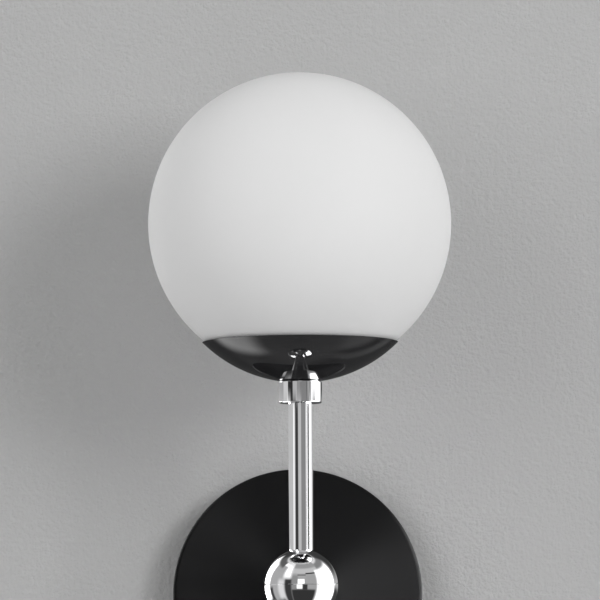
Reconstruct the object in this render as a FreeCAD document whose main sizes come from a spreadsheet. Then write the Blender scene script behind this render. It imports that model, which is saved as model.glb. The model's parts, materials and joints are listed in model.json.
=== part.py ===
import FreeCAD, Part
import math
import os
import re
import Sketcher

# A wall light with one opal glass globe. A round black backplate hangs on a steel crossbar at the wall.
# A short tube reaches forward from it to a drilled ball, and the stem stands on the ball and carries
# the dish, the lampholder and the globe.
# The origin is the middle of the backplate on the wall plane, +Z is up and the front faces -Y.
# All lengths are in millimetres.

SIZES = {
    # Clearances
    "thread_clearance": 0.05,
    "slip_clearance": 0.1,
    "seat_gap": 0.3,
    "edge_break": 0.5,
    "cut_overrun": 1.0,
    # How far the stem's axis stands from the wall
    "projection": 110.0,
    # Backplate and crossbar
    "plate_diameter": 126.0,
    "plate_depth": 19.0,
    "plate_wall": 1.2,
    "plate_edge_radius": 2.0,
    "bar_width": 14.0,
    "bar_thickness": 1.5,
    "bar_bend_radius": 2.5,
    "bar_ear_depth": 13.0,
    "bar_centre_hole": 10.5,
    "box_screw_spacing": 76.0,
    "box_slot_width": 4.6,
    "box_slot_length": 20.0,
    "rim_screw_depth": 8.0,
    "rim_screw_diameter": 4.0,
    "rim_screw_length": 8.0,
    "rim_screw_head_diameter": 7.4,
    "rim_screw_head_height": 1.8,
    "rim_hole_clearance": 0.2,
    "ground_screw_drop": 20.0,
    "ground_screw_diameter": 4.0,
    "ground_screw_head_diameter": 7.4,
    "ground_screw_head_height": 2.2,
    "screw_slot_width": 1.0,
    "screw_slot_depth": 0.9,
    "screw_end_chamfer": 0.3,
    # Threaded nipples and what they clamp
    "nipple_diameter": 10.0,
    "nipple_bore": 7.0,
    "nipple_engagement": 10.0,
    "nipple_chamfer": 0.5,
    "nipple_tail": 1.0,
    "nut_across_flats": 14.0,
    "nut_height": 3.0,
    "washer_diameter": 20.0,
    "washer_thickness": 1.2,
    "tooth_washer_diameter": 17.0,
    "tooth_washer_thickness": 0.8,
    "tooth_depth": 1.6,
    "tooth_gap_width": 1.2,
    "bushing_bore": 5.8,
    "bushing_flange_diameter": 9.4,
    "bushing_flange_height": 1.0,
    "bushing_sleeve": 4.0,
    # Ball, tubes and collar
    "ball_diameter": 37.0,
    "spot_margin": 0.2,
    "tap_depth": 10.5,
    "wireway_diameter": 8.0,
    "tube_diameter": 12.0,
    "tube_bore": 9.0,
    "stem_length": 72.9,
    "collar_diameter": 21.3,
    "collar_height": 10.9,
    "collar_chamfer": 0.5,
    # Dish, globe and the ring between them. The dish is spun tighter than the globe by the first size
    "dish_under_globe": 6.2,
    "dish_wall": 1.0,
    "dish_rim_diameter": 97.3,
    "dish_seat_diameter": 19.0,
    "globe_diameter": 150.0,
    "globe_wall": 3.0,
    "globe_opening": 46.0,
    "gasket_inner_diameter": 49.0,
    "gasket_outer_diameter": 62.0,
    # Spring carrier inside the dish
    "spacer_diameter": 18.0,
    "spacer_thickness": 2.2,
    "carrier_diameter": 37.0,
    "carrier_thickness": 1.0,
    "spring_thickness": 0.5,
    "spring_width": 6.0,
    "spring_clearance": 0.15,
    "spring_root_radius": 13.2,
    "spring_heel_radius": 1.2,
    "spring_bow_radius": 3.0,
    "spring_height": 13.5,
    "rivet_circle_radius": 15.0,
    "rivet_diameter": 2.4,
    "rivet_head_diameter": 3.6,
    "rivet_head_height": 0.7,
    "rivet_tail_height": 0.4,
    # Lampholder and its bracket
    "bracket_thickness": 1.2,
    "bracket_width": 14.0,
    "bracket_bend_radius": 2.0,
    "holder_diameter": 22.0,
    "holder_height": 18.0,
    "holder_flats": 19.6,
    "holder_lift": 5.5,
    "holder_screw_height": 9.0,
    "holder_screw_diameter": 3.0,
    "holder_screw_grip": 2.4,
    "holder_screw_head_diameter": 5.4,
    "holder_screw_head_height": 1.6,
    "bracket_above_screw": 4.0,
    "pin_spacing": 9.0,
    "pin_thickness": 0.9,
    "pin_width": 3.0,
    "pin_length": 7.0,
    "socket_length": 5.0,
    "socket_width": 3.0,
    "socket_floor": 6.0,
    "contact_leaf": 0.5,
    "contact_width": 3.6,
    "contact_height": 10.0,
    # Lamp
    "lamp_base_height": 13.0,
    "lamp_base_diameter": 15.6,
    "lamp_base_foot_diameter": 14.0,
    "lamp_base_shoulder": 7.8,
    "lamp_glass_diameter": 15.0,
    "lamp_glass_height": 28.0,
    "lamp_glass_wall": 0.8,
    # Wires
    "lead_diameter": 1.8,
    "lead_spacing": 2.9,
    "lead_bend_radius": 8.0,
    "lead_turn_radius": 3.8,
    "lead_height_over_wall": 6.0,
    "connector_start": 21.0,
    "connector_length": 19.0,
    "connector_mouth_diameter": 9.6,
    "connector_tip_diameter": 6.4,
    "connector_socket_depth": 5.0,
    "earth_lead_diameter": 1.6,
    "earth_drop": 34.0,
    "earth_bend_radius": 6.0,
    "terminal_thickness": 0.8,
    "terminal_reach": 14.0,
    "terminal_barrel_diameter": 3.0,
    "terminal_barrel_length": 5.0,
    "terminal_grip": 3.5,
}

# Lengths and places that follow from the sizes. Each "..._depth_at" is a distance from the wall, and each
# "..._level" a height over the ball's centre.
PLACES = {
    "ball_flat": "sqrt((ball_diameter / 2)^2 - (tube_diameter / 2 + spot_margin)^2)",
    "arm_length": "projection - ball_flat - plate_depth",
    "stem_top_level": "ball_flat + stem_length",
    "dish_seat_level": "stem_top_level + collar_height",
    "dish_radius": "globe_diameter / 2 - dish_under_globe",
    "dish_centre_level": "dish_seat_level + sqrt(dish_radius^2 - (dish_seat_diameter / 2)^2)",
    "dish_inner_radius": "dish_radius - dish_wall",
    "dish_rim_drop": "sqrt(dish_radius^2 - (dish_rim_diameter / 2)^2)",
    "dish_rim_inner_radius": "sqrt(dish_inner_radius^2 - dish_rim_drop^2)",
    "globe_centre_level": "dish_centre_level - dish_rim_drop"
    " + sqrt((globe_diameter / 2 + seat_gap)^2 - dish_rim_inner_radius^2)",
    "globe_inner_radius": "globe_diameter / 2 - globe_wall",
    "opening_outer_drop": "sqrt((globe_diameter / 2)^2 - (globe_opening / 2)^2)",
    "opening_inner_drop": "sqrt(globe_inner_radius^2 - (globe_opening / 2)^2)",
    "opening_middle_level": "globe_centre_level - (opening_outer_drop + opening_inner_drop) / 2",
    "spacer_level": "dish_seat_level + dish_wall",
    "carrier_level": "spacer_level + spacer_thickness",
    "bracket_level": "carrier_level + carrier_thickness",
    "top_tooth_washer_level": "bracket_level + bracket_thickness",
    "top_nut_level": "top_tooth_washer_level + tooth_washer_thickness",
    "top_nipple_end_level": "top_nut_level + nut_height + nipple_tail",
    "top_nipple_start_level": "stem_top_level - nipple_engagement",
    "holder_level": "top_nipple_end_level + bushing_flange_height + holder_lift",
    "lamp_level": "holder_level + holder_height + seat_gap",
    "plate_inside_depth_at": "plate_depth - plate_wall",
    "terminal_depth_at": "plate_inside_depth_at - washer_thickness - terminal_thickness",
    "rear_tooth_washer_depth_at": "terminal_depth_at - tooth_washer_thickness",
    "rear_nut_depth_at": "rear_tooth_washer_depth_at - nut_height",
    "rear_nipple_depth_at": "rear_nut_depth_at - nipple_tail",
    "ear_face": "sqrt((plate_diameter / 2 - plate_wall - seat_gap)^2 - (bar_width / 2)^2)",
    "bore_for_nipple": "nipple_diameter / 2 + slip_clearance",
    "thread_for_nipple": "nipple_diameter / 2 + thread_clearance",
    "spring_reach": "sqrt((globe_opening / 2 - spring_clearance)^2 - (spring_width / 2)^2)",
    "bracket_face": "holder_flats / 2 + slip_clearance",
    "earth_lead_end_height": "bar_thickness + earth_lead_diameter / 2 + slip_clearance",
}

WORD = re.compile(r"[a-z][a-z_]+")
UPRIGHT = FreeCAD.Rotation()
FROM_WALL = FreeCAD.Rotation(FreeCAD.Vector(1, 0, 0), 90)  # local Z runs from the wall to the front

doc = FreeCAD.newDocument("globe_wall_light")
sheet = doc.addObject("Spreadsheet::Sheet", "Sizes")
sub_parts = []

TOOTH_COUNT = 12
SPRING_RISER_DEGREES = 60
SPRING_TIP_DEGREES = 112


def fill_sheet():
    for row, (word, size) in enumerate(SIZES.items(), start=1):
        sheet.set(f"A{row}", word)
        sheet.set(f"B{row}", str(size))
        sheet.setAlias(f"B{row}", word)
    doc.recompute()


def bound(text):
    """The expression text with each size as a cell of the sheet and each place written out."""

    def cell(match):
        word = match.group(0)
        if word in SIZES:
            return "Sizes." + word
        if word in PLACES:
            return "(" + bound(PLACES[word]) + ")"
        return word

    return WORD.sub(cell, text)


def value(text):
    return float(sheet.evalExpression(bound(text)))


def drive(thing, name, text):
    thing.setExpression(name, bound(text))


# ---- Bodies, sketches and features ----


def new_body(name, rotation=UPRIGHT, x="0", y="0", z="0"):
    """A body with its own name, turned by rotation and placed by three expressions."""
    body = doc.addObject("PartDesign::Body", name)
    body.Label = name
    body.AllowCompound = True
    body.Placement = FreeCAD.Placement(FreeCAD.Vector(), rotation)
    for axis, text in (("x", x), ("y", y), ("z", z)):
        drive(body, f".Placement.Base.{axis}", text)
    sub_parts.append(body)
    return body


def on_stem(level):
    """Where a piece of the stem sits: on the stem's axis, at a height over the ball's centre."""
    return {"y": "-projection", "z": level}


def on_arm(depth):
    """Where a piece of the arm sits: at a distance from the wall, facing the front."""
    return {"rotation": FROM_WALL, "y": f"-({depth})"}


def new_sketch(body, plane="XZ_Plane"):
    sketch = body.newObject("Sketcher::SketchObject", f"{body.Label}_sketch")
    support = next(each for each in body.Origin.OriginFeatures if each.Role == plane)
    sketch.AttachmentSupport = [(support, "")]
    sketch.MapMode = "FlatFace"
    return sketch


def pin_point(sketch, geometry, end, x, y):
    """Fix a point of the sketch at two expressions."""
    for kind, axis, text in (("DistanceX", -2, x), ("DistanceY", -1, y)):
        if text == "0":
            sketch.addConstraint(Sketcher.Constraint("PointOnObject", geometry, end, axis))
            continue
        rule = Sketcher.Constraint(kind, -1, 1, geometry, end, value(text))
        drive(sketch, f"Constraints[{sketch.addConstraint(rule)}]", text)


def arc_centre(start, end, radius, side):
    """Centre of the arc under half a turn from start to end; side is 1 for a left turn, -1 for a right."""
    chord = end - start
    rise = math.sqrt(max(radius**2 - chord.Length**2 / 4, 0))
    left = FreeCAD.Vector(-chord.y, chord.x, 0).normalize()
    return (start + end) * 0.5 + left * (rise * side)


def outline(sketch, corners):
    """A closed outline. A corner is (x, y), or (x, y, radius, side) where an arc ends at it."""
    points = [FreeCAD.Vector(value(corner[0]), value(corner[1]), 0) for corner in corners]
    ends = []
    for index, corner in enumerate(corners):
        start, end = points[index - 1], points[index]
        if len(corner) == 2:
            line = sketch.addGeometry(Part.LineSegment(start, end), False)
            ends.append((line, 1, 2))
            continue
        radius, side = value(corner[2]), corner[3]
        centre = arc_centre(start, end, radius, side)
        circle = Part.Circle(centre, FreeCAD.Vector(0, 0, 1), radius)
        first, last = (start, end) if side > 0 else (end, start)
        angles = [math.atan2(point.y - centre.y, point.x - centre.x) for point in (first, last)]
        arc = sketch.addGeometry(Part.ArcOfCircle(circle, *angles), False)
        ends.append((arc, 1, 2) if side > 0 else (arc, 2, 1))
        rule = sketch.addConstraint(Sketcher.Constraint("Radius", arc, radius))
        drive(sketch, f"Constraints[{rule}]", corner[2])
    for index, corner in enumerate(corners):
        geometry, _, end = ends[index]
        following, start, _ = ends[(index + 1) % len(ends)]
        sketch.addConstraint(Sketcher.Constraint("Coincident", geometry, end, following, start))
        pin_point(sketch, geometry, end, corner[0], corner[1])


def rectangle(sketch, left, right, low, high):
    outline(sketch, [(left, low), (right, low), (right, high), (left, high)])


def circle(sketch, radius, x="0", y="0"):
    centre = FreeCAD.Vector(value(x), value(y), 0)
    ring = Part.Circle(centre, FreeCAD.Vector(0, 0, 1), value(radius))
    geometry = sketch.addGeometry(ring, False)
    rule = sketch.addConstraint(Sketcher.Constraint("Radius", geometry, value(radius)))
    drive(sketch, f"Constraints[{rule}]", radius)
    pin_point(sketch, geometry, 3, x, y)


def axis_line(sketch, x):
    """An upright construction line at x, to turn a profile about."""
    foot, head = FreeCAD.Vector(value(x), 0, 0), FreeCAD.Vector(value(x), 1, 0)
    line = sketch.addGeometry(Part.LineSegment(foot, head), True)
    pin_point(sketch, line, 1, x, "0")
    sketch.addConstraint(Sketcher.Constraint("Vertical", line))
    sketch.addConstraint(Sketcher.Constraint("DistanceY", line, 1, line, 2, 1))


def feature(body, kind, sketch, name):
    made = body.newObject(f"PartDesign::{kind}", f"{body.Label}_{name}")
    made.Profile = sketch
    return made


def turn(body, sketch, axis="V_Axis", cut=False):
    kind = "Groove" if cut else "Revolution"
    made = feature(body, kind, sketch, kind.lower())
    made.ReferenceAxis = (sketch, [axis])
    made.Angle = 360
    doc.recompute()
    return made


def pad(body, sketch, length, both_ways=False):
    made = feature(body, "Pad", sketch, "pad")
    drive(made, "Length", length)
    if both_ways:
        made.SideType = "Symmetric"
    doc.recompute()
    return made


def cut_through(body, sketch):
    made = feature(body, "Pocket", sketch, "pocket")
    made.Type = "ThroughAll"
    made.SideType = "Symmetric"
    doc.recompute()
    return made


def repeat(body, originals, count, axis="Z_Axis"):
    """Copies of the features, spread evenly round an axis of the body."""
    made = body.newObject("PartDesign::PolarPattern", f"{body.Label}_pattern")
    made.Originals = originals
    made.Axis = (next(each for each in body.Origin.OriginFeatures if each.Role == axis), [""])
    made.Angle = 360
    made.Occurrences = count
    body.Tip = made
    doc.recompute()
    return made


def turned(name, corners, **place):
    """A piece turned about its own upright axis from an outline of radii and heights."""
    body = new_body(name, **place)
    sketch = new_sketch(body)
    outline(sketch, corners)
    turn(body, sketch)
    return body


def ring_corners(inner, outer, height, chamfer=None):
    """Outline of a plain or chamfered ring that stands on its seat."""
    if chamfer is None:
        return [(inner, "0"), (outer, "0"), (outer, height), (inner, height)]
    return [
        (inner, "0"),
        (f"{outer} - {chamfer}", "0"),
        (outer, chamfer),
        (outer, f"{height} - {chamfer}"),
        (f"{outer} - {chamfer}", height),
        (inner, height),
    ]


# ---- Wall side ----


def make_backplate():
    outer, depth = "plate_diameter / 2", "plate_depth"
    flat, side = f"{outer} - plate_edge_radius", f"{depth} - plate_edge_radius"
    body = turned("backplate", [
        (f"{outer} - plate_wall", "0"),
        (outer, "0"),
        (outer, side),
        (flat, depth, "plate_edge_radius", 1),
        ("bore_for_nipple", depth),
        ("bore_for_nipple", "plate_inside_depth_at"),
        (flat, "plate_inside_depth_at"),
        (f"{outer} - plate_wall", side, "plate_edge_radius - plate_wall", -1),
    ], rotation=FROM_WALL)
    sketch = new_sketch(body)
    circle(sketch, "rim_screw_diameter / 2 + rim_hole_clearance", y="rim_screw_depth")
    cut_through(body, sketch)


def make_mounting_crossbar():
    """A folded strip: flat on the wall box, with an ear at each end for a rim screw."""
    body = new_body("mounting_crossbar", FROM_WALL)
    sketch = new_sketch(body, "YZ_Plane")
    bend, inner_bend = "bar_bend_radius", "bar_bend_radius - bar_thickness"
    inner_face = "ear_face - bar_thickness"
    outline(sketch, [
        ("-(ear_face)", "bar_ear_depth"),
        ("-(ear_face)", bend),
        (f"-(ear_face - {bend})", "0", bend, 1),
        (f"ear_face - {bend}", "0"),
        ("ear_face", bend, bend, 1),
        ("ear_face", "bar_ear_depth"),
        (inner_face, "bar_ear_depth"),
        (inner_face, bend),
        (f"ear_face - {bend}", "bar_thickness", inner_bend, -1),
        (f"-(ear_face - {bend})", "bar_thickness"),
        (f"-({inner_face})", bend, inner_bend, -1),
        (f"-({inner_face})", "bar_ear_depth"),
    ])
    pad(body, sketch, "bar_width", both_ways=True)
    openings = new_sketch(body, "XY_Plane")
    circle(openings, "bar_centre_hole / 2")
    circle(openings, "ground_screw_diameter / 2 + thread_clearance", y="-ground_screw_drop")
    half = "box_slot_width / 2"
    for sign in ("", "-"):
        middle = f"{sign}box_screw_spacing / 2"
        low, high = (f"{middle} {way} (box_slot_length / 2 - {half})" for way in "-+")
        outline(openings, [
            (half, high),
            ("0", f"{high} + {half}", half, 1),
            (f"-({half})", high, half, 1),
            (f"-({half})", low),
            ("0", f"{low} - {half}", half, 1),
            (half, low, half, 1),
        ])
    cut_through(body, openings)
    ear_holes = new_sketch(body)
    circle(ear_holes, "rim_screw_diameter / 2 + thread_clearance", y="rim_screw_depth")
    cut_through(body, ear_holes)


def screw_corners(shank, length, head, head_height):
    """Outline of a domed screw with its head's underside at zero and its shank below it."""
    dome = f"{head_height} / 2"
    return [
        ("0", f"-({length})"),
        (f"{shank} / 2 - screw_end_chamfer", f"-({length})"),
        (f"{shank} / 2", f"-({length}) + screw_end_chamfer"),
        (f"{shank} / 2", "0"),
        (f"{head} / 2", "0"),
        (f"{head} / 2", dome),
        (f"{head} / 2 - {dome}", head_height, dome, 1),
        ("0", head_height),
    ]


def cut_driver_slot(body, head, head_height, plane="XZ_Plane"):
    sketch = new_sketch(body, plane)
    half = "screw_slot_width / 2"
    rectangle(sketch, f"-({half})", half, f"{head_height} - screw_slot_depth", f"{head_height} + cut_overrun")
    return cut_through(body, sketch)


def make_ground_screw():
    head, head_height = "ground_screw_head_diameter", "ground_screw_head_height"
    corners = screw_corners("ground_screw_diameter", "bar_thickness", head, head_height)
    body = turned("ground_screw", corners, rotation=FROM_WALL, y="-bar_thickness", z="-ground_screw_drop")
    cut_driver_slot(body, head, head_height)


def make_rim_screws():
    """Two screws through the backplate's rim, one above and one below, into the crossbar's ears."""
    body = new_body("rim_screws", y="-rim_screw_depth")
    rim = "plate_diameter / 2"
    sketch = new_sketch(body)
    corners = screw_corners(
        "rim_screw_diameter", "rim_screw_length", "rim_screw_head_diameter", "rim_screw_head_height")
    outline(sketch, [(corner[0], f"{rim} + {corner[1]}", *corner[2:]) for corner in corners])
    upper = turn(body, sketch)
    slot = new_sketch(body)
    half, top = "screw_slot_width / 2", f"{rim} + rim_screw_head_height"
    rectangle(slot, f"-({half})", half, f"{top} - screw_slot_depth", f"{top} + cut_overrun")
    groove = cut_through(body, slot)
    repeat(body, [upper, groove], 2, "Y_Axis")


# ---- Threaded pieces, washers and nuts ----


def make_nipple(name, start, end, **place):
    length = f"({end} - ({start}))"
    bore = "nipple_bore / 2"
    turned(name, ring_corners(bore, "nipple_diameter / 2", length, "nipple_chamfer"), **place)


def make_washer(name, diameter, thickness, **place):
    turned(name, ring_corners("bore_for_nipple", f"{diameter} / 2", thickness), **place)


def make_tooth_washer(name, **place):
    """A lock washer with gaps cut round its rim."""
    diameter, thickness = "tooth_washer_diameter", "tooth_washer_thickness"
    body = turned(name, ring_corners("bore_for_nipple", f"{diameter} / 2", thickness), **place)
    sketch = new_sketch(body, "XY_Plane")
    half = "tooth_gap_width / 2"
    rim = f"{diameter} / 2"
    rectangle(sketch, f"{rim} - tooth_depth", f"{rim} + cut_overrun", f"-({half})", half)
    repeat(body, [cut_through(body, sketch)], TOOTH_COUNT)


def make_locknut(name, **place):
    body = new_body(name, **place)
    prism = body.newObject("PartDesign::AdditivePrism", f"{name}_hexagon")
    prism.Polygon = 6
    drive(prism, "Circumradius", "nut_across_flats / sqrt(3)")
    drive(prism, "Height", "nut_height")
    doc.recompute()
    bore = new_sketch(body, "XY_Plane")
    circle(bore, "thread_for_nipple")
    cut_through(body, bore)
    corners = new_sketch(body)
    flat, point = "nut_across_flats / 2", "nut_across_flats / sqrt(3) + cut_overrun"
    slope = f"({point} - {flat}) / 2"
    outline(corners, [
        (flat, "nut_height"),
        (point, f"nut_height - {slope}"),
        (point, "nut_height"),
    ])
    turn(body, corners, cut=True)


def make_bushing(name, **place):
    """A plastic bushing: a sleeve inside the nipple's end and a flange over it."""
    sleeve = "nipple_bore / 2 - thread_clearance"
    turned(name, [
        ("bushing_bore / 2", "-bushing_sleeve"),
        (sleeve, "-bushing_sleeve"),
        (sleeve, "0"),
        ("bushing_flange_diameter / 2", "0"),
        ("bushing_flange_diameter / 2", "bushing_flange_height / 2"),
        ("bushing_flange_diameter / 2 - bushing_flange_height / 2", "bushing_flange_height",
         "bushing_flange_height / 2", 1),
        ("bushing_bore / 2", "bushing_flange_height"),
    ], **place)


# ---- Arm, ball, stem and collar ----


def make_tube(name, length, **place):
    """A tube with a tapped length at each end for a nipple."""
    outer, bore, tapped = "tube_diameter / 2", "tube_bore / 2", "thread_for_nipple"
    tap = "nipple_engagement + seat_gap"
    turned(name, [
        (tapped, "0"),
        (outer, "0"),
        (outer, length),
        (tapped, length),
        (tapped, f"{length} - ({tap})"),
        (bore, f"{length} - ({tap})"),
        (bore, tap),
        (tapped, tap),
    ], **place)


def make_ball():
    """A solid ball with a spot face, a tapped hole and a wireway from above and from behind."""
    body = turned("knuckle_ball", [
        ("0", "-ball_diameter / 2"),
        ("ball_diameter / 2", "0", "ball_diameter / 2", 1),
        ("0", "ball_diameter / 2", "ball_diameter / 2", 1),
    ], **on_stem("0"))
    beyond, spot = "ball_diameter / 2 + cut_overrun", "tube_diameter / 2 + spot_margin + cut_overrun"
    for plane, axis in (("XZ_Plane", "V_Axis"), ("YZ_Plane", "H_Axis")):
        sketch = new_sketch(body, plane)
        steps = [
            ("0", "0"),
            ("wireway_diameter / 2", "0"),
            ("wireway_diameter / 2", "ball_flat - tap_depth"),
            ("thread_for_nipple", "ball_flat - tap_depth"),
            ("thread_for_nipple", "ball_flat"),
            (spot, "ball_flat"),
            (spot, beyond),
            ("0", beyond),
        ]
        if axis == "H_Axis":
            steps = [(along, across) for across, along in steps][::-1]
        outline(sketch, steps)
        turn(body, sketch, axis, cut=True)


def make_collar():
    corners = ring_corners("bore_for_nipple", "collar_diameter / 2", "collar_height", "collar_chamfer")
    turned("stem_collar", corners, **on_stem("stem_top_level"))


# ---- Dish, globe and the spring carrier ----


def make_dish():
    """A spun dish, part of a sphere with a small flat seat, modelled from the sphere's centre."""
    seat, rim = "dish_seat_diameter / 2", "dish_rim_diameter / 2"
    seat_drop = "sqrt(dish_radius^2 - (dish_seat_diameter / 2)^2)"
    inside = f"{seat_drop} - dish_wall"
    inner_seat = f"sqrt(dish_inner_radius^2 - ({inside})^2)"
    turned("globe_dish", [
        ("bore_for_nipple", f"-({seat_drop})"),
        (seat, f"-({seat_drop})"),
        (rim, "-dish_rim_drop", "dish_radius", 1),
        ("dish_rim_inner_radius", "-dish_rim_drop"),
        (inner_seat, f"-({inside})", "dish_inner_radius", -1),
        ("bore_for_nipple", f"-({inside})"),
    ], **on_stem("dish_centre_level"))


def make_gasket():
    """A soft ring that lies in the dish and cushions the globe: its top follows the glass."""
    lower, upper = "gasket_inner_diameter / 2", "gasket_outer_diameter / 2"
    top = "(globe_diameter / 2 + seat_gap)"
    rise = "globe_centre_level - dish_centre_level"
    turned("globe_gasket", [
        (lower, f"-sqrt(dish_inner_radius^2 - ({lower})^2)"),
        (upper, f"-sqrt(dish_inner_radius^2 - ({upper})^2)", "dish_inner_radius", 1),
        (upper, f"{rise} - sqrt({top}^2 - ({upper})^2)"),
        (lower, f"{rise} - sqrt({top}^2 - ({lower})^2)", top, -1),
    ], **on_stem("dish_centre_level"))


def make_globe():
    """A blown globe with one ground opening below, modelled from its own centre."""
    radius, opening = "globe_diameter / 2", "globe_opening / 2"
    turned("glass_globe", [
        (opening, "-opening_outer_drop"),
        (radius, "0", radius, 1),
        ("0", radius, radius, 1),
        ("0", "globe_inner_radius"),
        ("globe_inner_radius", "0", "globe_inner_radius", -1),
        (opening, "-opening_inner_drop", "globe_inner_radius", -1),
    ], **on_stem("globe_centre_level"))


def make_carrier():
    """The disc that carries the three globe springs, with a hole for each rivet."""
    body = turned("spring_carrier", ring_corners(
        "bore_for_nipple", "carrier_diameter / 2", "carrier_thickness"), **on_stem("carrier_level"))
    sketch = new_sketch(body, "XY_Plane")
    circle(sketch, "rivet_diameter / 2 + thread_clearance", y="rivet_circle_radius")
    repeat(body, [cut_through(body, sketch)], 3)


def make_springs():
    """Three leaf springs: a riveted root, a heel, a riser that leans out and a bow at the glass edge.

    The leaf's middle line is level at the root, rises at the riser's angle and ends at the tip's angle.
    """
    body = new_body("globe_springs", **on_stem("bracket_level"))
    half = "spring_thickness / 2"
    riser, tip = SPRING_RISER_DEGREES, SPRING_TIP_DEGREES
    bow_y = f"spring_reach - {half} - spring_bow_radius"
    bow_z = "opening_middle_level - bracket_level"
    lean_start = (f"{bow_y} + spring_bow_radius * cos({riser - 90})",
                  f"{bow_z} + spring_bow_radius * sin({riser - 90})")
    corner = f"{lean_start[0]} - ({lean_start[1]} - {half}) / tan({riser})"
    set_back = f"(spring_heel_radius + {half}) * tan({riser / 2})"
    edges = []
    for side in ("+", "-"):
        heel = f"(spring_heel_radius + {half} {side} {half})"
        bow = f"(spring_bow_radius {side} {half})"
        heel_y, heel_z = f"{corner} - {set_back}", f"spring_heel_radius + 2 * {half}"
        tip_y, tip_z = f"{bow_y} + {bow} * cos({tip - 90})", f"{bow_z} + {bow} * sin({tip - 90})"
        tip_run = f"((spring_height - ({tip_z})) / tan({tip}))"
        edges.append([
            ("spring_root_radius", f"{heel_z} - {heel}"),
            (heel_y, f"{heel_z} - {heel}"),
            (f"{heel_y} + {heel} * cos({riser - 90})", f"{heel_z} + {heel} * sin({riser - 90})", heel, 1),
            (f"{bow_y} + {bow} * cos({riser - 90})", f"{bow_z} + {bow} * sin({riser - 90})"),
            (tip_y, tip_z, bow, 1),
            (f"{tip_y} + {tip_run}", "spring_height"),
        ])
    outer, inner = edges
    back = [
        inner[5],
        inner[4][:2],
        (*inner[3], inner[4][2], -1),
        inner[2][:2],
        (*inner[1], inner[2][2], -1),
        inner[0],
    ]
    sketch = new_sketch(body, "YZ_Plane")
    outline(sketch, outer + back)
    leaf = pad(body, sketch, "spring_width", both_ways=True)
    hole_sketch = new_sketch(body, "XY_Plane")
    circle(hole_sketch, "rivet_diameter / 2 + thread_clearance", y="rivet_circle_radius")
    hole = feature(body, "Pocket", hole_sketch, "rivet_hole")
    drive(hole, "Length", "spring_thickness * 4")
    hole.SideType = "Symmetric"
    doc.recompute()
    repeat(body, [leaf, hole], 3)


def make_rivets():
    """Three rivets that hold the springs on the carrier."""
    body = new_body("spring_rivets", **on_stem("carrier_level"))
    sketch = new_sketch(body, "YZ_Plane")
    middle, top = "rivet_circle_radius", "carrier_thickness + spring_thickness"
    outline(sketch, [
        (middle, "-rivet_tail_height"),
        (f"{middle} + rivet_head_diameter / 2", "-rivet_tail_height"),
        (f"{middle} + rivet_head_diameter / 2", "0"),
        (f"{middle} + rivet_diameter / 2", "0"),
        (f"{middle} + rivet_diameter / 2", top),
        (f"{middle} + rivet_head_diameter / 2", top),
        (f"{middle} + rivet_head_diameter / 4", f"{top} + rivet_head_height"),
        (middle, f"{top} + rivet_head_height"),
    ])
    axis_line(sketch, middle)
    repeat(body, [turn(body, sketch, "Axis0")], 3)


# ---- Lampholder ----


def make_bracket():
    """A folded strip clamped by the locknut, with an upright each side of the lampholder."""
    body = new_body("holder_bracket", **on_stem("bracket_level"))
    sketch = new_sketch(body)
    outer, bend = "bracket_face + bracket_thickness", "bracket_bend_radius"
    inner_bend = "bracket_bend_radius - bracket_thickness"
    screw = "holder_level + holder_screw_height - bracket_level"
    top = f"{screw} + bracket_above_screw"
    outline(sketch, [
        (f"-({outer})", top),
        (f"-({outer})", bend),
        (f"-({outer} - {bend})", "0", bend, 1),
        (f"{outer} - {bend}", "0"),
        (outer, bend, bend, 1),
        (outer, top),
        ("bracket_face", top),
        ("bracket_face", bend),
        (f"{outer} - {bend}", "bracket_thickness", inner_bend, -1),
        (f"-({outer} - {bend})", "bracket_thickness"),
        ("-bracket_face", bend, inner_bend, -1),
        ("-bracket_face", top),
    ])
    pad(body, sketch, "bracket_width", both_ways=True)
    centre_hole = new_sketch(body, "XY_Plane")
    circle(centre_hole, "bore_for_nipple")
    cut_through(body, centre_hole)
    side_holes = new_sketch(body, "YZ_Plane")
    circle(side_holes, "holder_screw_diameter / 2 + slip_clearance", y=screw)
    cut_through(body, side_holes)


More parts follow.
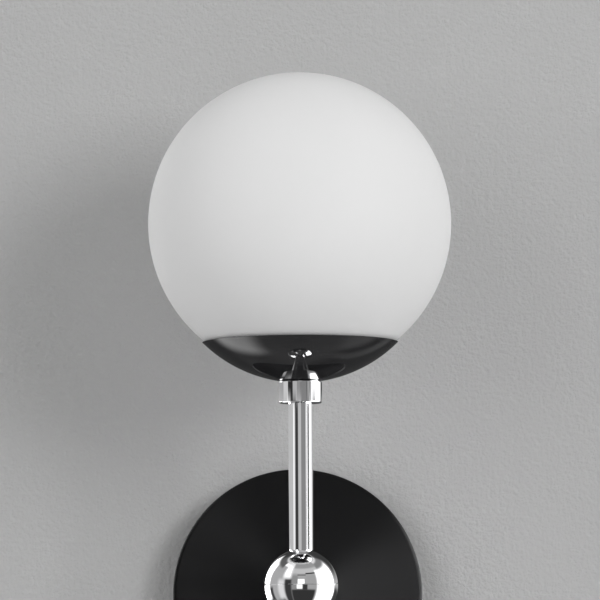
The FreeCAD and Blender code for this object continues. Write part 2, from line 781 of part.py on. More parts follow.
def make_lampholder():
    """A ceramic body with two flats, two pin sockets above, wire entries below and screw holes."""
    body = turned("lampholder", ring_corners("0", "holder_diameter / 2", "holder_height", "edge_break"),
                  **on_stem("holder_level"))
    flats = new_sketch(body, "XY_Plane")
    face, beyond = "holder_flats / 2", "holder_diameter / 2 + cut_overrun"
    rectangle(flats, face, beyond, f"-({beyond})", beyond)
    rectangle(flats, f"-({beyond})", f"-({face})", f"-({beyond})", beyond)
    cut_through(body, flats)
    sockets = new_sketch(body)
    for sign in ("", "-"):
        middle = f"{sign}pin_spacing / 2"
        rectangle(sockets, f"{middle} - socket_width / 2", f"{middle} + socket_width / 2",
                  "socket_floor", "holder_height + cut_overrun")
    pocket = feature(body, "Pocket", sockets, "sockets")
    drive(pocket, "Length", "socket_length")
    pocket.SideType = "Symmetric"
    doc.recompute()
    entries = new_sketch(body, "XY_Plane")
    for sign in ("", "-"):
        circle(entries, "lead_diameter / 2 + slip_clearance", x=f"{sign}pin_spacing / 2")
    cut_through(body, entries)
    side = new_sketch(body)
    half = "holder_screw_diameter / 2 + thread_clearance"
    for sign in ("", "-"):
        tip = f"{sign}(holder_flats / 2 - holder_screw_grip)"
        out = f"{sign}(holder_diameter / 2)"
        outline(side, [
            (tip, "holder_screw_height"),
            (out, "holder_screw_height"),
            (out, f"holder_screw_height + {half}"),
            (tip, f"holder_screw_height + {half}"),
        ])
    line = side.addGeometry(Part.LineSegment(
        FreeCAD.Vector(0, value("holder_screw_height"), 0),
        FreeCAD.Vector(1, value("holder_screw_height"), 0)), True)
    pin_point(side, line, 1, "0", "holder_screw_height")
    side.addConstraint(Sketcher.Constraint("Horizontal", line))
    side.addConstraint(Sketcher.Constraint("DistanceX", line, 1, line, 2, 1))
    turn(body, side, "Axis0", cut=True)


def make_holder_screws():
    """Two screws through the bracket's uprights into the lampholder's flats."""
    body = new_body("holder_screws", **on_stem("holder_level + holder_screw_height"))
    seat = "bracket_face + bracket_thickness"
    grip = f"({seat} - holder_flats / 2 + holder_screw_grip - seat_gap)"
    corners = screw_corners(
        "holder_screw_diameter", grip, "holder_screw_head_diameter", "holder_screw_head_height")
    sketch = new_sketch(body)
    outline(sketch, [(f"{seat} + {corner[1]}", corner[0], *corner[2:3], *[-each for each in corner[3:]])
                     for corner in corners])
    screw = turn(body, sketch, "H_Axis")
    slot = new_sketch(body)
    top, half = f"{seat} + holder_screw_head_height", "screw_slot_width / 2"
    rectangle(slot, f"{top} - screw_slot_depth", f"{top} + cut_overrun", f"-({half})", half)
    repeat(body, [screw, cut_through(body, slot)], 2)


def make_contacts():
    """A folded spring contact on the floor of each pin socket."""
    body = new_body("holder_contacts", **on_stem("holder_level + socket_floor"))
    sketch = new_sketch(body)
    middle = "pin_spacing / 2"
    gap = "pin_thickness / 2 + slip_clearance"
    leaf = f"{gap} + contact_leaf"
    outline(sketch, [
        (f"{middle} - ({leaf})", "0"),
        (f"{middle} + {leaf}", "0"),
        (f"{middle} + {leaf}", "contact_height"),
        (f"{middle} + {gap}", "contact_height"),
        (f"{middle} + {gap}", "contact_leaf"),
        (f"{middle} - ({gap})", "contact_leaf"),
        (f"{middle} - ({gap})", "contact_height"),
        (f"{middle} - ({leaf})", "contact_height"),
    ])
    repeat(body, [pad(body, sketch, "contact_width", both_ways=True)], 2)


# ---- Lamp ----


def make_lamp_base():
    foot, outer = "lamp_base_foot_diameter / 2", "lamp_base_diameter / 2"
    turned("lamp_base", [
        ("0", "0"),
        (f"{foot} - edge_break", "0"),
        (foot, "edge_break"),
        (outer, "lamp_base_shoulder"),
        (outer, "lamp_base_height - edge_break"),
        (f"{outer} - edge_break", "lamp_base_height"),
        ("0", "lamp_base_height"),
    ], **on_stem("lamp_level"))


def make_lamp_pins():
    """Two flat looped pins under the lamp's base, rounded at their ends."""
    body = new_body("lamp_pins", **on_stem("lamp_level"))
    sketch = new_sketch(body, "YZ_Plane")
    half = "pin_width / 2"
    outline(sketch, [
        (f"-({half})", f"-pin_length + {half}"),
        ("0", "-pin_length", half, 1),
        (half, f"-pin_length + {half}", half, 1),
        (half, "0"),
        (f"-({half})", "0"),
    ])
    pin = feature(body, "Pad", sketch, "pin")
    middle = "pin_spacing / 2"
    pin.SideType = "Two sides"
    drive(pin, "Length", f"{middle} + pin_thickness / 2")
    drive(pin, "Length2", f"-({middle} - pin_thickness / 2)")
    doc.recompute()
    repeat(body, [pin], 2)


def make_lamp_glass():
    """A thin frosted tube with a domed top, standing on the lamp's base."""
    outer, wall = "lamp_glass_diameter / 2", "lamp_glass_wall"
    inner = f"{outer} - {wall}"
    turned("lamp_glass", [
        (inner, "0"),
        (outer, "0"),
        (outer, f"lamp_glass_height - {outer}"),
        ("0", "lamp_glass_height", outer, 1),
        ("0", f"lamp_glass_height - {wall}"),
        (inner, f"lamp_glass_height - {outer}", inner, -1),
    ], **on_stem("lamp_level + lamp_base_height"))


# ---- Wires and their ends ----


def rounded_route(corners):
    """One wire through corners given as (point, radius): straight runs joined by tangent arcs."""
    edges = []
    last = corners[0][0]
    for index in range(1, len(corners) - 1):
        corner, radius = corners[index]
        toward = (corners[index - 1][0] - corner).normalize()
        away = (corners[index + 1][0] - corner).normalize()
        half_angle = toward.getAngle(away) / 2
        set_back = radius / math.tan(half_angle)
        start, end = corner + toward * set_back, corner + away * set_back
        bisector = (toward + away).normalize()
        middle = corner + bisector * (radius / math.sin(half_angle) - radius)
        edges.append(Part.LineSegment(last, start).toShape())
        edges.append(Part.Arc(start, middle, end).toShape())
        last = end
    edges.append(Part.LineSegment(last, corners[-1][0]).toShape())
    return Part.Wire(edges)


def make_lead(name, diameter, corners):
    """A round wire along its route, checked by its section times its length."""
    route = rounded_route(corners)
    first, second = corners[0][0], corners[1][0]
    section = Part.Wire([Part.Circle(first, second - first, diameter / 2).toShape()])
    lead = doc.addObject("Part::Feature", name)
    lead.Label = name
    lead.Shape = route.makePipeShell([section], True, False)
    lead.Placement = FreeCAD.Placement()
    expected = math.pi * diameter**2 / 4 * route.Length
    radii = ", ".join(f"{radius:.1f}" for _, radius in corners[1:-1])
    print(f"{name}: length {route.Length:.1f}, bend radii {radii}, volume {lead.Shape.Volume / expected:.4f}")
    sub_parts.append(lead)


def make_supply_leads():
    """A live and a neutral wire, each from its contact down the stem, round the ball and to the wall."""
    axis = -value("projection")
    entry, beside = value("pin_spacing / 2"), value("lead_spacing / 2")
    contact, holder = value("holder_level + socket_floor"), value("holder_level")
    nipple_end = value("top_nipple_end_level + bushing_flange_height")
    behind = -value("lead_height_over_wall")
    connector = value("connector_start + connector_socket_depth")
    straight, diameter = value("bushing_flange_height"), value("lead_diameter")
    slope_start, slope_end = holder - straight, nipple_end + straight / 2
    half_turn = math.atan2(entry - beside, slope_start - slope_end) / 2
    gentle = straight / 2 / math.tan(half_turn)
    for name, side in (("live_lead", 1), ("neutral_lead", -1)):
        make_lead(name, diameter, [
            (FreeCAD.Vector(side * entry, axis, contact), 0),
            (FreeCAD.Vector(side * entry, axis, slope_start), gentle),
            (FreeCAD.Vector(side * beside, axis, slope_end), gentle),
            (FreeCAD.Vector(side * beside, axis, 0), value("lead_bend_radius")),
            (FreeCAD.Vector(side * beside, behind, 0), value("lead_turn_radius")),
            (FreeCAD.Vector(side * connector, behind, 0), 0),
        ])


def make_connectors():
    """Two screw-on wire connectors, one on the end of each supply lead."""
    body = new_body("wire_connectors", y="-lead_height_over_wall")
    sketch = new_sketch(body, "XY_Plane")
    start, end = "connector_start", "connector_start + connector_length"
    socket = "connector_start + connector_socket_depth"
    hole = "lead_diameter / 2 + slip_clearance"
    outline(sketch, [
        (start, hole),
        (start, "connector_mouth_diameter / 2"),
        (f"{start} + connector_socket_depth", "connector_mouth_diameter / 2"),
        (end, "connector_tip_diameter / 2"),
        (end, "0"),
        (socket, "0"),
        (socket, hole),
    ])
    repeat(body, [turn(body, sketch, "H_Axis")], 2)


def make_earth_terminal():
    """A ring terminal under the arm's locknut, with a tongue and a barrel for the earth wire."""
    place = on_arm("terminal_depth_at")
    body = turned("earth_terminal", ring_corners(
        "bore_for_nipple", "tooth_washer_diameter / 2", "terminal_thickness"), **place)
    tongue = new_sketch(body, "XY_Plane")
    half = "terminal_barrel_diameter / 2"
    far, near = "-(terminal_reach + cut_overrun)", "-(bore_for_nipple + cut_overrun)"
    rectangle(tongue, f"-({half})", half, far, near)
    pad(body, tongue, "terminal_thickness")
    barrel = new_sketch(body)
    circle(barrel, half, y="terminal_thickness / 2")
    tube = feature(body, "Pad", barrel, "barrel")
    tube.SideType = "Two sides"
    drive(tube, "Length", "terminal_reach + terminal_barrel_length")
    drive(tube, "Length2", "-terminal_reach")
    doc.recompute()
    bore = new_sketch(body)
    circle(bore, "earth_lead_diameter / 2 + thread_clearance", y="terminal_thickness / 2")
    pocket = feature(body, "Pocket", bore, "barrel_bore")
    pocket.SideType = "Two sides"
    drive(pocket, "Length", "-(terminal_reach + cut_overrun)")
    drive(pocket, "Length2", "terminal_reach + terminal_barrel_length + cut_overrun")
    doc.recompute()


def make_earth_lead():
    """The earth wire: from the ring terminal's barrel, round, to the ground screw on the crossbar."""
    front = -value("terminal_depth_at + terminal_thickness / 2")
    back = -value("earth_lead_end_height")
    radius = value("earth_bend_radius")
    start = -value("terminal_reach + terminal_barrel_length - terminal_grip")
    low = -value("earth_drop")
    end = -value("ground_screw_drop + ground_screw_head_diameter / 2 + slip_clearance")
    make_lead("earth_lead", value("earth_lead_diameter"), [
        (FreeCAD.Vector(0, front, start), 0),
        (FreeCAD.Vector(0, front, low), radius),
        (FreeCAD.Vector(0, back, low), radius),
        (FreeCAD.Vector(0, back, end), 0),
    ])


def make_everything():
    make_backplate()
    make_mounting_crossbar()
    make_ground_screw()
    make_rim_screws()
    make_washer("arm_washer", "washer_diameter", "washer_thickness",
                **on_arm("plate_inside_depth_at - washer_thickness"))
    make_earth_terminal()
    make_tooth_washer("arm_tooth_washer", **on_arm("rear_tooth_washer_depth_at"))
    make_locknut("arm_locknut", **on_arm("rear_nut_depth_at"))
    make_nipple("arm_rear_nipple", "rear_nipple_depth_at", "plate_depth + nipple_engagement",
                **on_arm("rear_nipple_depth_at"))
    make_tube("arm_tube", "arm_length", **on_arm("plate_depth"))
    make_nipple("arm_front_nipple", "-nipple_engagement", "nipple_engagement",
                **on_arm("plate_depth + arm_length - nipple_engagement"))
    make_ball()
    make_nipple("stem_lower_nipple", "-nipple_engagement", "nipple_engagement",
                **on_stem("ball_flat - nipple_engagement"))
    make_tube("stem_tube", "stem_length", **on_stem("ball_flat"))
    make_nipple("stem_upper_nipple", "top_nipple_start_level", "top_nipple_end_level",
                **on_stem("top_nipple_start_level"))
    make_collar()
    make_dish()
    make_gasket()
    make_globe()
    make_washer("dish_spacer", "spacer_diameter", "spacer_thickness", **on_stem("spacer_level"))
    make_carrier()
    make_springs()
    make_rivets()
    make_bracket()
    make_tooth_washer("dish_tooth_washer", **on_stem("top_tooth_washer_level"))
    make_locknut("dish_locknut", **on_stem("top_nut_level"))
    make_bushing("stem_bushing", **on_stem("top_nipple_end_level"))
    make_bushing("arm_bushing", rotation=FreeCAD.Rotation(FreeCAD.Vector(1, 0, 0), -90),
                 y="-(rear_nipple_depth_at)")
    make_lampholder()
    make_contacts()
    make_holder_screws()
    make_lamp_base()
    make_lamp_pins()
    make_lamp_glass()
    make_supply_leads()
    make_connectors()
    make_earth_lead()


def check_and_write():
    """Stop on any failed object or poor solid, and only then write one file per sub-part."""
    doc.recompute()
    failed = [each.Label for each in doc.Objects if {"Invalid", "Error"} & set(each.State)]
    poor = [each.Label for each in sub_parts if each.Shape.isNull() or not each.Shape.isValid()]
    loose = [each.Label for each in doc.Objects
             if each.TypeId == "Sketcher::SketchObject" and not each.FullyConstrained]
    if failed or poor or loose:
        raise RuntimeError(f"failed {failed}, poor {poor}, loose sketches {loose}")
    os.makedirs("parts", exist_ok=True)
    for each in sub_parts:
        each.Shape.exportStep(f"parts/{each.Label}.step")
        box = each.Shape.BoundBox
        print(f"{each.Label}: {len(each.Shape.Solids)} solid(s), {each.Shape.Volume:.1f} mm3, "
              f"x {box.XMin:.1f} {box.XMax:.1f}, y {box.YMin:.1f} {box.YMax:.1f}, "
              f"z {box.ZMin:.1f} {box.ZMax:.1f}")


fill_sheet()
make_everything()
check_and_write()
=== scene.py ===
import json
import math
import bmesh
import bpy
from mathutils import Matrix, Vector

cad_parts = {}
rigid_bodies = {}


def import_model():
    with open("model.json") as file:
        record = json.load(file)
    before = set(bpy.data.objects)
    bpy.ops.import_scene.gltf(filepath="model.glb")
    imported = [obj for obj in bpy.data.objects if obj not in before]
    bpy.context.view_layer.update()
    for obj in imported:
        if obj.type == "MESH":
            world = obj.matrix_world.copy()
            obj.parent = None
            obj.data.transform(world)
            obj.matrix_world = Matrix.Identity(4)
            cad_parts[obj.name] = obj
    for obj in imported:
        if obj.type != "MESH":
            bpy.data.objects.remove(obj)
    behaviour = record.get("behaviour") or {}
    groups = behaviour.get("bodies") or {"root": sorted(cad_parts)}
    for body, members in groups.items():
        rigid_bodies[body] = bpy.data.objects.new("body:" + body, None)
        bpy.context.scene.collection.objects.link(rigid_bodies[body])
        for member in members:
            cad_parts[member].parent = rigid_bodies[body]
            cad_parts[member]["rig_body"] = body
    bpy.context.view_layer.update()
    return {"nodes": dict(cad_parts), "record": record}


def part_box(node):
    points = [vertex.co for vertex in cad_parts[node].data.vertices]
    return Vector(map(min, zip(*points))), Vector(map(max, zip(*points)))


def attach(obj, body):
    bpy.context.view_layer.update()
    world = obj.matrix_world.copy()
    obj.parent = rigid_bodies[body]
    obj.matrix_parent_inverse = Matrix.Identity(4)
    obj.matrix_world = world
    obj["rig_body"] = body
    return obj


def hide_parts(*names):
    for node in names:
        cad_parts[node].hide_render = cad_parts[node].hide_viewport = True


# A wall light with one opal globe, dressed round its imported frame.
# Metres, +Z up, the front faces -Y.

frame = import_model()

MM = 0.001

# ---- Places and sizes read from the frame ----


def middle(node):
    low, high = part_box(node)
    return (low + high) / 2


def half_width(node):
    low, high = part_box(node)
    return (high[0] - low[0]) / 2


def span(node, axis):
    low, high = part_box(node)
    return low[axis], high[axis]


STEM_AXIS = Vector((0.0, middle("stem_tube").y, 0.0))
TUBE_RADIUS = half_width("stem_tube")
BALL_RADIUS = half_width("knuckle_ball")
GLOBE_RADIUS = half_width("glass_globe")
GLOBE_TOP = span("glass_globe", 2)[1]
GLOBE_CENTRE = GLOBE_TOP - GLOBE_RADIUS
PLATE_RADIUS = half_width("backplate")
PLATE_DEPTH = -span("backplate", 1)[0]

# ---- Sizes that the frame's boxes don't give ----

NIPPLE_HOLE_RADIUS = 5.1 * MM
GLOBE_WALL = 3.0 * MM
GLOBE_OPENING_RADIUS = 23.0 * MM
GLOBE_LIP_REACH = 1.2               # degrees of the globe's arc that its lip takes up
GLOBE_LIP_OFFSET = 0.1 * MM
DISH_WALL = 1.0 * MM
DISH_SEAT_RADIUS = 9.5 * MM
DISH_LIP_REACH = 0.25               # degrees of the dish's arc that its lip takes up
DISH_LIP_RADIUS = 0.45 * MM
COLLAR_CHAMFER = 0.5 * MM
COLLAR_ROUNDING = 0.12 * MM
TUBE_WALL = 1.5 * MM
TUBE_ROUNDING = 0.18 * MM
SPOT_MARGIN = 0.2 * MM              # the ball's flat is this much wider than the tube on it
PLATE_WALL = 1.2 * MM
PLATE_EDGE = 2.0 * MM
PLATE_BACK_CHAMFER = 0.2 * MM

# ---- Fineness of turned meshes ----

TURN_STEPS = 192
LARGE_TURN_STEPS = 256
GLOBE_ARC_STEPS = 90
GLOBE_LIP_STEPS = 10
DISH_ARC_STEPS = 64
DISH_LIP_STEPS = 8
BALL_ARC_STEPS = 120
PLATE_OUTER_STEPS = 12
PLATE_INNER_STEPS = 8
ROUNDING_STEPS = 4
CORNER_SHARE = 0.45                 # the most of a run that one rounded corner takes up
AXIS_RADIUS = 1e-7                  # a point nearer to the axis than this lies on it
SHARP_ANGLE = 25                    # degrees
GLOBE_SHARP_ANGLE = 60
BALL_SHARP_ANGLE = 12
PLATE_SHARP_ANGLE = 30
BRACED_RUN = 1.0 * MM
BRACED_RATIO = 4.0
BRACE_INSET = 0.05 * MM


def new_object(name, data):
    made = bpy.data.objects.new(name, data)
    bpy.context.scene.collection.objects.link(made)
    return made


def facing(place, aim):
    """A transform at a place with its -Z side towards another point, as cameras and lights face."""
    turn = (aim - place).to_track_quat("-Z", "Y").to_matrix().to_4x4()
    return Matrix.Translation(place) @ turn


# ---- Camera: its distance and height were worked out from the photograph's parallax ----

FRAME_PIXELS = 600
FOCAL_PIXELS = 7445.0
SENSOR_WIDTH = 36.0
CAMERA_DISTANCE = 3.67
CAMERA_BELOW_BALL = 0.154
CAMERA_LEFT = 0.0715
CAMERA_ROLL = math.radians(-0.26)
CAMERA_AIM_HEIGHT = 0.1415
CAMERA_NEAR, CAMERA_FAR = 0.1, 50.0


def make_camera():
    data = bpy.data.cameras.new("photo_camera")
    data.sensor_width = SENSOR_WIDTH
    data.lens = FOCAL_PIXELS / FRAME_PIXELS * SENSOR_WIDTH
    data.clip_start, data.clip_end = CAMERA_NEAR, CAMERA_FAR
    camera = new_object("photo_camera", data)
    place = STEM_AXIS + Vector((-CAMERA_LEFT, -CAMERA_DISTANCE, -CAMERA_BELOW_BALL))
    aim = STEM_AXIS + Vector((0.0, 0.0, CAMERA_AIM_HEIGHT))
    camera.matrix_world = facing(place, aim) @ Matrix.Rotation(CAMERA_ROLL, 4, "Z")
    bpy.context.scene.camera = camera


# ---- Turned meshes ----

UPRIGHT = Matrix.Translation(STEM_AXIS)
FROM_WALL = Matrix.Rotation(math.radians(90), 4, "X")


def arc(centre, radius, start, end, steps):
    """Points of an arc in a profile, from one angle to another in degrees, ends included."""
    angles = [math.radians(start + (end - start) * step / steps) for step in range(steps + 1)]
    return [(centre[0] + radius * math.cos(a), centre[1] + radius * math.sin(a)) for a in angles]


def bend(start, corner, end, steps):
    """Points of a soft bend between two ends, drawn towards a corner, ends included."""
    out = []
    for step in range(steps + 1):
        t = step / steps
        out.append(tuple(start * (1 - t) ** 2 + corner * 2 * t * (1 - t) + end * t ** 2))
    return out


def softened(points, radius):
    """The closed profile with each corner rounded, as every turned or ground edge is."""
    out = []
    count = len(points)
    for index, point in enumerate(points):
        here = Vector(point)
        before = Vector(points[index - 1]) - here
        after = Vector(points[(index + 1) % count]) - here
        half_angle = before.angle(after) / 2
        reach = min(radius / math.tan(half_angle),
                    before.length * CORNER_SHARE, after.length * CORNER_SHARE)
        start, end = here + before.normalized() * reach, here + after.normalized() * reach
        out += bend(start, here, end, ROUNDING_STEPS)
    return out


def braced(points, closed):
    """The profile with a ring close to each end of a long straight run, which keeps its shading
    straight."""
    count = len(points)
    runs = [math.dist(points[i], points[(i + 1) % count]) for i in range(count)]
    out = []
    for index, point in enumerate(points):
        out.append(point)
        if index == count - 1 and not closed:
            break
        run = runs[index]
        shortest = min(runs[index - 1], runs[(index + 1) % count])
        if run < BRACED_RUN or run < BRACED_RATIO * shortest:
            continue
        start, end = Vector(point), Vector(points[(index + 1) % count])
        step = (end - start).normalized() * BRACE_INSET
        out += [tuple(start + step), tuple(end - step)]
    return out


def turned(name, profile, place, node, slot_name, closed=True, steps=TURN_STEPS,
           sharp=SHARP_ANGLE):
    """A mesh turned about the place's upright axis. It stands for a CAD node and rides with it."""
    profile = braced(profile, closed)
    angles = [2 * math.pi * step / steps for step in range(steps)]
    shape = bmesh.new()
    rings = []
    for radius, height in profile:
        if radius < AXIS_RADIUS:
            rings.append([shape.verts.new((0.0, 0.0, height))])
            continue
        rings.append([shape.verts.new((radius * math.cos(a), radius * math.sin(a), height))
                      for a in angles])
    pairs = list(zip(rings, rings[1:]))
    if closed:
        pairs.append((rings[-1], rings[0]))
    for low, high in pairs:
        if len(low) == 1 and len(high) == 1:
            continue
        for step in range(steps):
            following = (step + 1) % steps
            if len(low) == 1:
                shape.faces.new((low[0], high[following], high[step]))
            elif len(high) == 1:
                shape.faces.new((low[step], low[following], high[0]))
            else:
                shape.faces.new((low[step], low[following], high[following], high[step]))
    bmesh.ops.recalc_face_normals(shape, faces=shape.faces)
    mesh = bpy.data.meshes.new(name)
    shape.to_mesh(mesh)
    shape.free()
    mesh.shade_smooth()
    mesh.set_sharp_from_angle(angle=math.radians(sharp))
    mesh.transform(place)
    piece = new_object(name, mesh)
    piece.data.materials.append(material(slot_name))
    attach(piece, frame["nodes"][node]["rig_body"])
    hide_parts(node)


# ---- Nodes that materials share ----

TEXTURE_LOW, TEXTURE_HIGH = 0.3, 0.7        # the part of a noise texture that varies a surface
FINE_DETAIL = 4.0
NOISE_ROUGHNESS = 0.55


def new_material(name):
    made = bpy.data.materials.new(name)
    made.use_nodes = True
    nodes, links = made.node_tree.nodes, made.node_tree.links
    return made, nodes, links, nodes["Principled BSDF"]


def noise(nodes, links, scale, detail=FINE_DETAIL, roughness=NOISE_ROUGHNESS):
    space = nodes.new("ShaderNodeTexCoord").outputs["Object"]
    made = nodes.new("ShaderNodeTexNoise")
    made.inputs["Scale"].default_value = scale
    made.inputs["Detail"].default_value = detail
    made.inputs["Roughness"].default_value = roughness
    links.new(space, made.inputs["Vector"])
    return made.outputs["Fac"]


def spread_number(nodes, links, factor, low, high):
    """A number that runs from low to high with a texture's factor."""
    made = nodes.new("ShaderNodeMapRange")
    made.inputs["From Min"].default_value = TEXTURE_LOW
    made.inputs["From Max"].default_value = TEXTURE_HIGH
    made.inputs["To Min"].default_value = low
    made.inputs["To Max"].default_value = high
    links.new(factor, made.inputs["Value"])
    return made.outputs["Result"]


def spread_colour(nodes, links, factor, low, high):
    """A colour that runs from low to high with a texture's factor."""
    made = nodes.new("ShaderNodeValToRGB")
    for stop, place, colour in zip(made.color_ramp.elements, (TEXTURE_LOW, TEXTURE_HIGH),
                                   (low, high)):
        stop.position = place
        stop.color = (*colour, 1)
    links.new(factor, made.inputs["Fac"])
    return made.outputs["Color"]


def bump(nodes, links, shader, height, strength, distance):
    made = nodes.new("ShaderNodeBump")
    made.inputs["Strength"].default_value = strength
    made.inputs["Distance"].default_value = distance
    links.new(height, made.inputs["Height"])
    links.new(made.outputs["Normal"], shader.inputs["Normal"])


def mixed(nodes, links, factor, first, second):
    """The first shader where the factor is 0, the second where it is 1."""
    made = nodes.new("ShaderNodeMixShader")
    links.new(factor, made.inputs["Fac"])
    links.new(first, made.inputs[1])
    links.new(second, made.inputs[2])
    return made.outputs["Shader"]


def varied(name, colours, roughness, fine_scale, broad_scale, broad_detail):
    """A material whose colour drifts slowly and whose roughness varies finely over the surface.
    It comes with its nodes, links, shader and fine texture."""
    made, nodes, links, shader = new_material(name)
    fine = noise(nodes, links, fine_scale)
    broad = noise(nodes, links, broad_scale, detail=broad_detail)
    links.new(spread_colour(nodes, links, broad, *colours), shader.inputs["Base Color"])
    links.new(spread_number(nodes, links, fine, *roughness), shader.inputs["Roughness"])
    return made, nodes, links, shader, fine


# ---- Materials ----

METAL_BUMP_DISTANCE = 0.00005


def metal(name, colours, roughness, scale, bump_strength):
    """Bare or plated metal: uneven colour and polish, with a fine grain where it isn't polished."""
    made, nodes, links, shader, fine = varied(name, colours, roughness, scale, scale / 12, 2.0)
    shader.inputs["Metallic"].default_value = 1.0
    if bump_strength:
        bump(nodes, links, shader, fine, bump_strength, METAL_BUMP_DISTANCE)
    return made


def coated(name, colours, roughness, scale, bump_strength, bump_distance, sheen=0.0):
    """Paint, plastic, ceramic or rubber: uneven colour and gloss over a fine surface."""
    made, nodes, links, shader, fine = varied(name, colours, roughness, scale, scale / 20, 3.0)
    bump(nodes, links, shader, fine, bump_strength, bump_distance)
    shader.inputs["Sheen Weight"].default_value = sheen
    return made


def polished_black():
    """Glossy black finish: nearly all that is seen of it is what it mirrors."""
    made, _, _, shader, _ = varied(
        "polished_black", ((0.014, 0.014, 0.015), (0.019, 0.019, 0.020)), (0.012, 0.025),
        fine_scale=900, broad_scale=30, broad_detail=2.0)
    shader.inputs["Specular IOR Level"].default_value = 0.6
    return made


def satin_black():
    """Turned and lacquered plate: rings too fine to see one by one, which spread the shine along
    the radius."""
    made, nodes, links, shader, speckle = varied(
        "satin_black", ((0.002, 0.002, 0.0022), (0.003, 0.003, 0.0033)), (0.56, 0.64),
        fine_scale=2500, broad_scale=18, broad_detail=3.0)
    rings = nodes.new("ShaderNodeTangent")
    rings.direction_type = "RADIAL"
    rings.axis = "Y"
    links.new(rings.outputs["Tangent"], shader.inputs["Tangent"])
    shader.inputs["Anisotropic"].default_value = 1.0
    shader.inputs["Anisotropic Rotation"].default_value = 0.25
    shader.inputs["Specular IOR Level"].default_value = 0.17
    bump(nodes, links, shader, speckle, 0.10, 0.00003)
    return made


def opal_glass():
    """Cased white glass with an etched surface: light sinks in a little and no sharp highlight
    forms."""
    made, nodes, links, shader, fine = varied(
        "opal_glass", ((0.83, 0.83, 0.83), (0.86, 0.86, 0.86)), (0.50, 0.58),
        fine_scale=3000, broad_scale=9, broad_detail=2.0)
    shader.inputs["Subsurface Weight"].default_value = 1.0
    shader.inputs["Subsurface Radius"].default_value = (1.0, 1.0, 1.0)
    shader.inputs["Subsurface Scale"].default_value = 0.003
    shader.inputs["Specular IOR Level"].default_value = 0.02
    bump(nodes, links, shader, fine, 0.06, 0.00002)
    return made


# Each row: two colours, two roughnesses, the scale of the fine texture, its bump's strength.
METALS = {
    "polished_chrome": (((0.80, 0.80, 0.81), (0.84, 0.84, 0.85)), (0.008, 0.016), 900, 0.0),
    "black_screw": (((0.02, 0.02, 0.021), (0.035, 0.035, 0.036)), (0.3, 0.45), 900, 0.1),
    "zinc_plated_steel": (((0.55, 0.56, 0.58), (0.66, 0.66, 0.66)), (0.28, 0.42), 700, 0.15),
    "spring_steel": (((0.46, 0.46, 0.48), (0.54, 0.54, 0.56)), (0.18, 0.3), 800, 0.1),
    "rivet_steel": (((0.66, 0.66, 0.67), (0.74, 0.74, 0.75)), (0.25, 0.38), 800, 0.1),
    "contact_brass": (((0.72, 0.55, 0.25), (0.82, 0.66, 0.34)), (0.2, 0.35), 800, 0.1),
    "tinned_copper": (((0.60, 0.58, 0.55), (0.70, 0.68, 0.65)), (0.3, 0.45), 800, 0.1),
    "pin_steel": (((0.60, 0.60, 0.61), (0.70, 0.70, 0.71)), (0.15, 0.25), 800, 0.05),
}
# The same, then the bump's distance, and for a soft surface its sheen.
COATINGS = {
    "green_screw": (((0.03, 0.22, 0.09), (0.05, 0.30, 0.13)), (0.3, 0.4), 900, 0.1, 0.00003),
    "bushing_plastic": (
        ((0.02, 0.02, 0.02), (0.03, 0.03, 0.03)), (0.4, 0.55), 1200, 0.15, 0.00004),
    "silicone": (((0.76, 0.76, 0.74), (0.82, 0.82, 0.80)), (0.45, 0.6), 1200, 0.1, 0.00003, 0.2),
    "white_ceramic": (((0.78, 0.77, 0.73), (0.84, 0.83, 0.79)), (0.5, 0.7), 1500, 0.25, 0.00006),
    "black_wire": (
        ((0.015, 0.015, 0.015), (0.025, 0.025, 0.025)), (0.35, 0.5), 900, 0.15, 0.00005),
    "white_wire": (((0.74, 0.74, 0.72), (0.82, 0.82, 0.80)), (0.35, 0.5), 900, 0.15, 0.00005),
    "green_wire": (((0.03, 0.24, 0.09), (0.05, 0.31, 0.13)), (0.35, 0.5), 900, 0.15, 0.00005),
    "connector_plastic": (
        ((0.68, 0.30, 0.05), (0.76, 0.36, 0.08)), (0.35, 0.5), 1000, 0.15, 0.00005),
    "white_plastic": (((0.76, 0.76, 0.74), (0.81, 0.81, 0.79)), (0.25, 0.35), 1200, 0.1, 0.00003),
    "frosted_glass": (((0.80, 0.79, 0.75), (0.85, 0.84, 0.80)), (0.45, 0.55), 2500, 0.1, 0.00002),
}
OWN_MATERIALS = {
    "polished_black": polished_black,
    "satin_black": satin_black,
    "opal_glass": opal_glass,
}
made_materials = {}


def material(slot_name):
    """The material of a slot, made when it is first asked for."""
    if slot_name not in made_materials:
        if slot_name in METALS:
            made = metal(slot_name, *METALS[slot_name])
        elif slot_name in COATINGS:
            made = coated(slot_name, *COATINGS[slot_name])
        else:
            made = OWN_MATERIALS[slot_name]()
        made_materials[slot_name] = made
    return made_materials[slot_name]


def dress_cad_nodes():
    """Every carried-over CAD node gets its slot's material."""
    for part in frame["record"]["subparts"]:
        node = frame["nodes"][part["node"]]
        node.data.materials.clear()
        node.data.materials.append(material(part["material_slot"]))


# ---- Pieces ----


